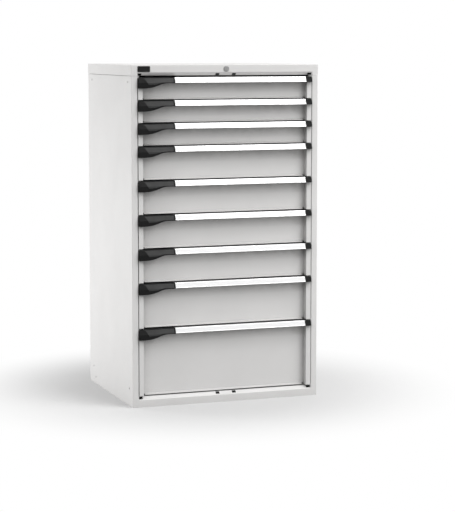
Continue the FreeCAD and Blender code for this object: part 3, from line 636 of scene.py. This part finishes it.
def turned(
    name: str, profile: Sequence[tuple[float, float]], centre: Vector, axis: Vector
) -> bpy.types.Object:
    """A turned piece.

    Args:
        name: the piece's name.
        profile: (radius, distance along the axis) points, from the middle outwards.
        centre: where the axis starts.
        axis: which way the axis points.

    Returns:
        The new piece, with its normals outwards.
    """
    bm = bmesh.new()
    spots = [bm.verts.new((radius, 0.0, along)) for radius, along in profile]
    edges = [bm.edges.new(pair) for pair in zip(spots, spots[1:])]
    bmesh.ops.spin(
        bm,
        geom=spots + edges,
        cent=(0.0, 0.0, 0.0),
        axis=(0.0, 0.0, 1.0),
        angle=math.tau,
        steps=ROUND_STEPS,
        use_merge=True,
    )
    bmesh.ops.remove_doubles(bm, verts=bm.verts, dist=TURNED_WELD)
    bmesh.ops.recalc_face_normals(bm, faces=bm.faces)
    turn = Vector((0.0, 0.0, 1.0)).rotation_difference(axis).to_matrix()
    bmesh.ops.transform(bm, matrix=Matrix.Translation(centre) @ turn.to_4x4(), verts=bm.verts)
    piece = new_piece(name, bm)
    piece.data.set_sharp_from_angle(angle=math.radians(TURNED_SHARP_ANGLE))
    return piece


def dress(
    piece: bpy.types.Object, body: str, finish: Finish, stands_for: Iterable[str] = ()
) -> bpy.types.Object:
    """Gives a new piece its body and finish, and hides the nodes that it stands for."""
    piece.data.materials.clear()
    piece.data.materials.append(finish.material())
    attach(piece, body)
    for node in stands_for:
        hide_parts(node)
    log.info("piece %s on %s: %d faces", piece.name, body, len(piece.data.polygons))
    return piece


def coat(nodes: Iterable[str], finish: Finish) -> None:
    """Gives CAD nodes that stay as they are a finish."""
    for node in nodes:
        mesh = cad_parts[node].data
        mesh.materials.clear()
        mesh.materials.append(finish.material())
        log.info("node %s: %s", node, finish.name)


# Housing


@dataclass
class Housing:
    """The folded steel housing: side panels, base, top cap, back, plugs and badge."""

    body: str = "housing"
    edge: float = mm(0.45)
    seam: float = mm(1.3)
    seam_rim: float = mm(1.7)
    plug_edge: float = mm(0.3)
    plug_sharp_angle: float = 20.0
    plug_proud: float = mm(0.4)
    plug_sunk: float = mm(0.8)
    plug_outer: float = mm(405.0)
    plug_inner: float = mm(387.5)
    plug_start: float = mm(4.5)
    plug_end: float = mm(13.3)
    middle_plug: Span = (mm(30.0), mm(47.5))
    band_face: float = mm(32.0)
    badge_left: float = mm(-407.0)
    badge_right: float = mm(-350.5)
    badge_low: float = mm(1469.5)
    badge_high: float = mm(1495.0)
    badge_proud: float = mm(1.6)
    badge_corner: float = mm(4.5)
    badge_corner_steps: int = 5
    badge_rim: float = mm(1.4)
    badge_step: float = mm(0.5)
    badge_edge: float = mm(0.22)
    badge_sharp_angle: float = 40.0

    def build(self) -> None:
        """Builds and dresses every piece of the housing."""
        self.panels()
        self.plugs()
        self.badge()
        coat(["uprights", "cabinet_rails_left", "cabinet_rails_right", "lock_nut"], ZINC)

    def panels(self) -> None:
        """The painted sheets, with rounded edges."""
        names = {
            "side_panel_left": "left_side_sheet",
            "side_panel_right": "right_side_sheet",
            "back_panel": "back_sheet",
            "base": "base_pan",
            "top_cap": "top_cover",
        }
        for node, name in names.items():
            ease = self.open_seam if node == "top_cap" else None
            piece = softened(node, name, self.edge, ease=ease)
            dress(piece, self.body, HOUSING_ENAMEL, [node])

    def open_seam(self, bm: bmesh.types.BMesh) -> None:
        """Lifts the lower rim of the top cover, which leaves a fine gap over the sides."""
        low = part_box("top_cap")[0].z
        rim = [v for v in bm.verts if v.co.z < low + self.seam_rim]
        bmesh.ops.translate(bm, vec=(0.0, 0.0, self.seam), verts=rim)

    def plugs(self) -> None:
        """The plugs in the bevels of the two bands; those at the ends fold round the corner."""
        bm = bmesh.new()
        for side in (-1, 1):
            for upper in (False, True):
                self.plug(bm, side, upper, self.plug_inner, self.plug_outer, True)
                self.plug(bm, side, upper, *self.middle_plug, False)
        bmesh.ops.recalc_face_normals(bm, faces=bm.faces)
        round_edges(bm, self.plug_edge, sharper_than=self.plug_sharp_angle)
        piece = settle_normals(new_piece("bevel_plugs", bm))
        dress(piece, self.body, PLUG_BLACK, ["slot_plugs"])

    def plug(
        self,
        bm: bmesh.types.BMesh,
        side: int,
        upper: bool,
        near: float,
        far: float,
        folded: bool,
    ) -> None:
        """Adds one plug.

        Args:
            bm: the mesh it is added to.
            side: -1 for the left half, 1 for the right half.
            upper: whether it is in the top band.
            near: its end nearer to the middle of the cabinet.
            far: its other end.
            folded: whether it folds from the band's bevel onto the post's bevel.
        """
        low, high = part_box("top_cap")[0].y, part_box("top_cap")[1].z
        start, end = self.plug_start, self.plug_end
        rise = self.band_face
        on_band = Vector((0.0, -1.0, 1.0)).normalized()
        on_post = Vector((-1.0, -1.0, 0.0)).normalized()
        both = (on_band + on_post) / (1.0 + on_band.dot(on_post))
        outline = [
            (Vector((near, start, rise + start)), on_band),
            (Vector((near, end, rise + end)), on_band),
        ]
        if folded:
            outline += [
                (Vector((far - (end - start), end, rise + end)), both),
                (Vector((far, start, rise + end)), on_post),
                (Vector((far, start, rise + start)), both),
            ]
        else:
            outline += [
                (Vector((far, end, rise + end)), on_band),
                (Vector((far, start, rise + start)), on_band),
            ]
        layers = []
        for lift in (-self.plug_sunk, self.plug_proud):
            spots = []
            for spot, normal in outline:
                x, y, z = spot + normal * lift
                spots.append(bm.verts.new((side * x, low + y, high - z if upper else z)))
            layers.append(spots)
            bm.faces.new(spots[:3] + spots[-1:] if folded else spots)
            if folded:
                bm.faces.new(spots[2:])
        sunk, proud = layers
        for i in range(len(outline)):
            j = (i + 1) % len(outline)
            bm.faces.new((sunk[i], sunk[j], proud[j], proud[i]))

    def badge(self) -> None:
        """A blank plate at the left end of the top band, with a raised rim."""
        width, height = self.badge_right - self.badge_left, self.badge_high - self.badge_low
        across = (self.badge_left + self.badge_right) / 2
        level = (self.badge_low + self.badge_high) / 2
        halfway = self.badge_proud / 2
        centre = Vector((across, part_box("top_cap")[0].y - halfway, level))
        bm = block(Vector((width, self.badge_proud, height)))
        bmesh.ops.translate(bm, vec=centre, verts=bm.verts)
        corners = [e for e in bm.edges if abs((e.verts[0].co - e.verts[1].co).y) > halfway]
        bevel(bm, corners, self.badge_corner, self.badge_corner_steps)
        rim = bmesh.ops.inset_region(
            bm, faces=front_faces(bm), thickness=self.badge_rim, depth=0.0
        )
        field_faces = front_faces(bm, but=rim["faces"])
        bmesh.ops.inset_region(
            bm, faces=field_faces, thickness=self.badge_step, depth=-self.badge_step
        )
        round_edges(bm, self.badge_edge, sharper_than=self.badge_sharp_angle)
        dress(settle_normals(new_piece("blank_badge", bm)), self.body, BADGE_BLACK)


# Drawers


@dataclass
class Drawer:
    """One drawer: tray and front, handle with its label, moulded ends, lever and runners."""

    number: int
    sheet_edge: float = mm(0.35)
    handle_edge: float = mm(0.35)
    moulding_edge: float = mm(0.7)
    lever_edge: float = mm(0.5)
    moulded_steps: int = 3
    label_thickness: float = mm(0.55)
    label_play: float = mm(0.15)
    label_edge: float = mm(0.1)
    label_sharp_angle: float = 60.0
    groove_top: float = mm(3.4)
    groove_bottom: float = mm(20.0)
    groove_depth: float = mm(0.9)
    face_top: float = mm(1.5)
    face_slope: float = 0.5
    window_drop: float = mm(4.4)
    window_end: float = mm(6.0)
    window_rim: float = mm(1.2)
    window_step: float = mm(0.12)

    @property
    def prefix(self) -> str:
        """The start of the names of this drawer's nodes."""
        return f"drawer_{self.number}_"

    @property
    def body(self) -> str:
        """The body that this drawer's own pieces ride on."""
        return f"drawer_{self.number}"

    def build(self) -> None:
        """Builds and dresses every piece of this drawer."""
        self.tray()
        self.handle()
        self.label()
        self.mouldings()
        self.lever()
        coat([self.prefix + "runners"], ZINC)

    def tray(self) -> None:
        """The painted tray with its recessed front."""
        node = self.prefix + "tray"
        piece = softened(node, self.prefix + "shell", self.sheet_edge)
        dress(piece, self.body, ENAMEL, [node])

    def handle(self) -> None:
        """The aluminium handle."""
        node = self.prefix + "handle"
        piece = softened(node, self.prefix + "rail_handle", self.handle_edge)
        dress(piece, self.body, ALUMINIUM, [node])

    def label(self) -> None:
        """The white label strip in the handle's seat, with its window edge."""
        low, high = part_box(self.prefix + "handle")
        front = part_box(self.prefix + "tray")[0].y
        lean = math.atan(self.face_slope)
        height = (self.groove_bottom - self.groove_top) / math.cos(lean) - 2 * self.label_play
        length = high.x - low.x - 2 * self.label_play
        bm = block(Vector((length, self.label_thickness, height)))
        rim = bmesh.ops.inset_region(
            bm, faces=front_faces(bm), thickness=self.window_rim, depth=0.0
        )
        window = front_faces(bm, but=rim["faces"])
        self.shape_window(window[0], length, height)
        bmesh.ops.inset_region(
            bm, faces=window, thickness=self.window_step, depth=-self.window_step
        )
        round_edges(bm, self.label_edge, sharper_than=self.label_sharp_angle)
        middle = (self.groove_top + self.groove_bottom) / 2
        floor_y = front - self.face_top - self.face_slope * middle + self.groove_depth
        centre = Vector(((low.x + high.x) / 2, floor_y, high.z - middle))
        turn = Matrix.Rotation(-lean, 4, "X")
        lift = Matrix.Translation((0.0, -self.label_thickness / 2, 0.0))
        bmesh.ops.transform(bm, matrix=Matrix.Translation(centre) @ turn @ lift, verts=bm.verts)
        piece = settle_normals(new_piece(self.prefix + "label", bm))
        dress(piece, self.body, LABEL_WHITE)

    def shape_window(self, window: bmesh.types.BMFace, length: float, height: float) -> None:
        """Moves the corners of the label's window to their places."""
        for vert in window.verts:
            vert.co.x = math.copysign(length / 2 - self.window_end, vert.co.x)
            if vert.co.z > 0:
                vert.co.z = height / 2 - self.window_drop

    def mouldings(self) -> None:
        """The moulded grip at the left and the cap at the right."""
        node = self.prefix + "caps"
        name = self.prefix + "mouldings"
        piece = softened(node, name, self.moulding_edge, self.moulded_steps)
        dress(piece, self.body, GRIP_BLACK, [node])

    def lever(self) -> None:
        """The release lever."""
        node = self.prefix + "lever"
        piece = softened(node, self.prefix + "paddle", self.lever_edge, self.moulded_steps)
        dress(piece, f"lever_{self.number}", LEVER_GREY, [node])


# Lock


@dataclass
class CentralLock:
    """The lock in the top band: a turned rosette and a cylinder with a keyway.

    The ring's mouth and shoulder are points in millimetres, the mouth's from the bore and
    the shoulder's from the outer radius, and both from the ring's front.
    """

    ring_radius: float = mm(13.0)
    ring_proud: float = mm(3.0)
    ring_mouth: tuple[Span, ...] = ((0.0, -1.2), (0.7, -0.5), (1.2, 0.0))
    ring_shoulder: tuple[Span, ...] = ((-1.6, -0.25), (-0.6, -1.0), (0.0, -2.2))
    sleeve_wall: float = mm(0.95)
    bore: float = mm(8.7)
    plug_radius: float = mm(8.5)
    plug_depth: float = mm(29.5)
    plug_edge: float = mm(0.35)
    plug_edge_steps: int = 2
    rim_play: float = mm(0.1)
    rim_sharp_angle: float = 60.0
    key_inset: float = mm(3.0)
    key_width: float = mm(1.6)
    key_height: float = mm(8.0)
    key_stretch: float = 1.6
    key_depth: float = mm(4.0)

    def build(self) -> None:
        """Builds and dresses the lock's pieces."""
        low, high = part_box("lock_rosette")
        centre = Vector(((low.x + high.x) / 2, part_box("top_cap")[0].y, (low.z + high.z) / 2))
        self.rosette(centre, high.y - centre.y)
        self.cylinder(centre)
        coat(["lock_cam", "lock_link", "lock_bar"], ZINC)

    def rosette(self, centre: Vector, sleeve: float) -> None:
        """The ring on the band, with its sleeve behind."""
        outside = self.bore + self.sleeve_wall
        front = [(self.bore + mm(out), self.ring_proud + mm(on)) for out, on in self.ring_mouth]
        front += [
            (self.ring_radius + mm(out), self.ring_proud + mm(on))
            for out, on in self.ring_shoulder
        ]
        profile = [
            (self.bore, -sleeve),
            *front,
            (self.ring_radius, 0.0),
            (outside, 0.0),
            (outside, -sleeve),
            (self.bore, -sleeve),
        ]
        piece = turned("lock_ring", profile, centre, FRONT)
        dress(piece, "housing", LOCK_METAL, ["lock_rosette"])

    def cylinder(self, centre: Vector) -> None:
        """The cylinder with its keyway, from its face to its inner end."""
        bm = bmesh.new()
        bmesh.ops.create_cone(
            bm,
            cap_ends=True,
            segments=ROUND_STEPS,
            radius1=self.plug_radius,
            radius2=self.plug_radius,
            depth=self.plug_depth,
        )
        bmesh.ops.translate(bm, vec=(0.0, 0.0, -self.plug_depth / 2), verts=bm.verts)
        ends = [f for f in bm.faces if len(f.verts) == ROUND_STEPS]
        face = max(ends, key=lambda f: f.verts[0].co.z)
        bmesh.ops.inset_region(bm, faces=[face], thickness=self.key_inset, depth=0.0)
        half_width, half_height = self.key_width / 2, self.key_height / 2
        for vert in face.verts:
            vert.co.x = max(-half_width, min(half_width, vert.co.x))
            vert.co.y = max(-half_height, min(half_height, vert.co.y * self.key_stretch))
        pit = bmesh.ops.extrude_discrete_faces(bm, faces=[face])["faces"]
        bmesh.ops.translate(bm, vec=(0.0, 0.0, -self.key_depth), verts=pit[0].verts)
        bmesh.ops.remove_doubles(bm, verts=bm.verts, dist=TURNED_WELD)
        bevel(bm, self.rim(bm), self.plug_edge, self.plug_edge_steps)
        bmesh.ops.recalc_face_normals(bm, faces=bm.faces)
        turn = Matrix.Rotation(math.radians(90), 4, "X")
        place = Matrix.Translation(centre - Vector((0.0, self.ring_proud, 0.0))) @ turn
        bmesh.ops.transform(bm, matrix=place, verts=bm.verts)
        piece = new_piece("lock_plug", bm, smooth=False)
        dress(piece, "lock_core", LOCK_METAL, ["lock_cylinder"])

    def rim(self, bm: bmesh.types.BMesh) -> list[bmesh.types.BMEdge]:
        """The edges round the cylinder's two ends."""
        sharp = math.radians(self.rim_sharp_angle)
        reach = self.plug_radius - self.rim_play
        turning = (e for e in bm.edges if e.calc_face_angle(0.0) > sharp)
        return [e for e in turning if e.verts[0].co.xy.length > reach]


# Studio


@dataclass(frozen=True)
class Softbox:
    """A square soft light: where it hangs, how large it is, and where it points."""

    name: str
    place: tuple[float, float, float]
    aim: tuple[float, float, float]
    size: float
    power: float


def seen_plainly(wiring: Wiring) -> Socket:
    """One where a surface is seen directly, in a reflection or through glass, else zero."""
    path = wiring.add("LightPath").outputs
    indirect = wiring.math("MAXIMUM", path["Is Glossy Ray"], path["Is Transmission Ray"])
    return wiring.math("MAXIMUM", path["Is Camera Ray"], indirect)


@dataclass
class Studio:
    """Floor, soft lights, white surroundings and the camera."""

    softboxes: tuple[Softbox, ...] = (
        Softbox("right_fill", (1.8, -2.3, 0.9), aim=(0.1, -0.3, 0.75), size=0.9, power=6.0),
        Softbox("key", (3.0, -4.1, 8.2), aim=(0.0, -0.3, 0.7), size=4.8, power=440.0),
        Softbox("left_rear", (-2.8, 1.9, 0.5), aim=(-0.4, 0.2, 0.6), size=0.9, power=46.0),
    )
    floor_size: float = 60.0
    floor_cells: int = 4
    floor_colour: Colour = shade(212)
    floor_noise: Span = (3.0, 3.0)
    floor_tone: float = 0.99
    floor_bounce: float = 0.5
    floor_lift: float = 0.02
    # The fade from grey paint near the cabinet to white beyond spreads a painted shadow round its
    # foot.
    fade_start: float = 0.5
    fade_end: float = 1.25
    ambient: float = 0.56
    zenith: float = 0.28
    camera_place: Vector = field(default_factory=lambda: mm(-2578.7, -7544.9, 1580.4))
    camera_turn: float = 19.748
    camera_tilt: float = 5.2
    camera_reach: float = 60.0
    focal_pixels: float = 1736.0
    frame_pixels: float = 512.0
    shift_pixels: float = -51.7
    sensor: float = 36.0

    def build(self) -> None:
        """Builds the floor, the lights, the surroundings and the camera."""
        self.floor()
        self.surroundings()
        for softbox in self.softboxes:
            self.light(softbox)
        self.camera()
        bpy.context.scene.view_settings.view_transform = "Standard"
        log.info("studio: floor, %d lights, surroundings and camera", len(self.softboxes))

    def floor(self) -> None:
        """A wide flat floor."""
        cells = self.floor_cells
        bm = bmesh.new()
        bmesh.ops.create_grid(bm, x_segments=cells, y_segments=cells, size=self.floor_size / 2)
        piece = new_piece("studio_floor", bm)
        piece.data.materials.append(self.floor_paint())

    def floor_paint(self) -> bpy.types.Material:
        """A pale paint, seen lighter than the light it throws back, that fades to white away from
        the cabinet, so its grey round the cabinet's foot is painted shadow on top of the real one.
        """
        made = bpy.data.materials.new("studio_floor_paint")
        made.use_nodes = True
        wiring = Wiring(made.node_tree)
        output = wiring.add("OutputMaterial")
        place = wiring.add("TexCoord").outputs["Object"]
        mottle = wiring.noise(place, *self.floor_noise)
        colour = wiring.blend(
            mottle, self.floor_colour, toned(self.floor_colour, self.floor_tone)
        )
        seen = seen_plainly(wiring)
        bounce = (self.floor_bounce,) * 3 + (1.0,)
        paint = wiring.add("BsdfDiffuse", {"Color": wiring.blend(seen, bounce, colour)}).outputs[0]
        lift = wiring.add("Emission", {"Strength": wiring.math("MULTIPLY", seen, self.floor_lift)})
        near = wiring.add("AddShader", {0: paint, 1: lift.outputs[0]}).outputs[0]
        # Distance from the cabinet's middle: the painted shadow fades out with it.
        reach = wiring.add("VectorMath", {0: place}, operation="LENGTH").outputs["Value"]
        inputs = {"Value": reach, "From Min": self.fade_start, "From Max": self.fade_end}
        away = wiring.add("MapRange", inputs, interpolation_type="SMOOTHSTEP")
        white = wiring.add("Emission", {"Strength": 1.0}).outputs[0]
        share = wiring.math("MULTIPLY", away.outputs["Result"], seen)
        both = wiring.add("MixShader", {0: share, 1: near, 2: white})
        wiring.feed(both.outputs[0], output.inputs["Surface"])
        return made

    def surroundings(self) -> None:
        """A soft light from all round, stronger from above, seen as plain white."""
        world = bpy.data.worlds.new("studio_white")
        bpy.context.scene.world = world
        world.use_nodes = True
        wiring = Wiring(world.node_tree)
        output = wiring.add("OutputWorld")
        seen = seen_plainly(wiring)
        way = wiring.add("TexCoord").outputs["Generated"]
        height = wiring.math("MAXIMUM", wiring.add("SeparateXYZ", {0: way}).outputs["Z"], 0.0)
        level = wiring.math("MULTIPLY_ADD", height, self.zenith, self.ambient)
        unseen = wiring.math("MULTIPLY", wiring.math("SUBTRACT", 1.0, seen), level)
        strength = wiring.math("ADD", unseen, seen)
        sky = wiring.add("Background", {"Color": (1.0, 1.0, 1.0, 1.0), "Strength": strength})
        wiring.feed(sky.outputs[0], output.inputs["Surface"])

    def light(self, softbox: Softbox) -> None:
        """Hangs a square soft light that points at a spot."""
        lamp = bpy.data.lights.new(softbox.name, "AREA")
        lamp.shape = "SQUARE"
        lamp.size = softbox.size
        lamp.energy = softbox.power
        holder = bpy.data.objects.new(softbox.name, lamp)
        way = Vector(softbox.aim) - Vector(softbox.place)
        holder.location = softbox.place
        holder.rotation_euler = way.to_track_quat("-Z", "Y").to_euler()
        holder.visible_camera = False
        bpy.context.scene.collection.objects.link(holder)

    def camera(self) -> None:
        """The camera at the photograph's viewing angle."""
        lens = bpy.data.cameras.new("camera")
        lens.sensor_width = self.sensor
        lens.lens = self.focal_pixels / self.frame_pixels * self.sensor
        lens.shift_y = self.shift_pixels / self.frame_pixels
        lens.clip_end = self.camera_reach
        holder = bpy.data.objects.new("camera", lens)
        holder.location = self.camera_place
        holder.rotation_euler = (
            math.radians(90 - self.camera_tilt),
            0.0,
            math.radians(-self.camera_turn),
        )
        bpy.context.scene.collection.objects.link(holder)
        bpy.context.scene.camera = holder


def main() -> None:
    """Builds the cabinet and its studio."""
    EffectLibrary().build()
    Housing().build()
    for number in range(1, DRAWERS + 1):
        Drawer(number).build()
    CentralLock().build()
    Studio().build()


if __name__ == "__main__":
    main()
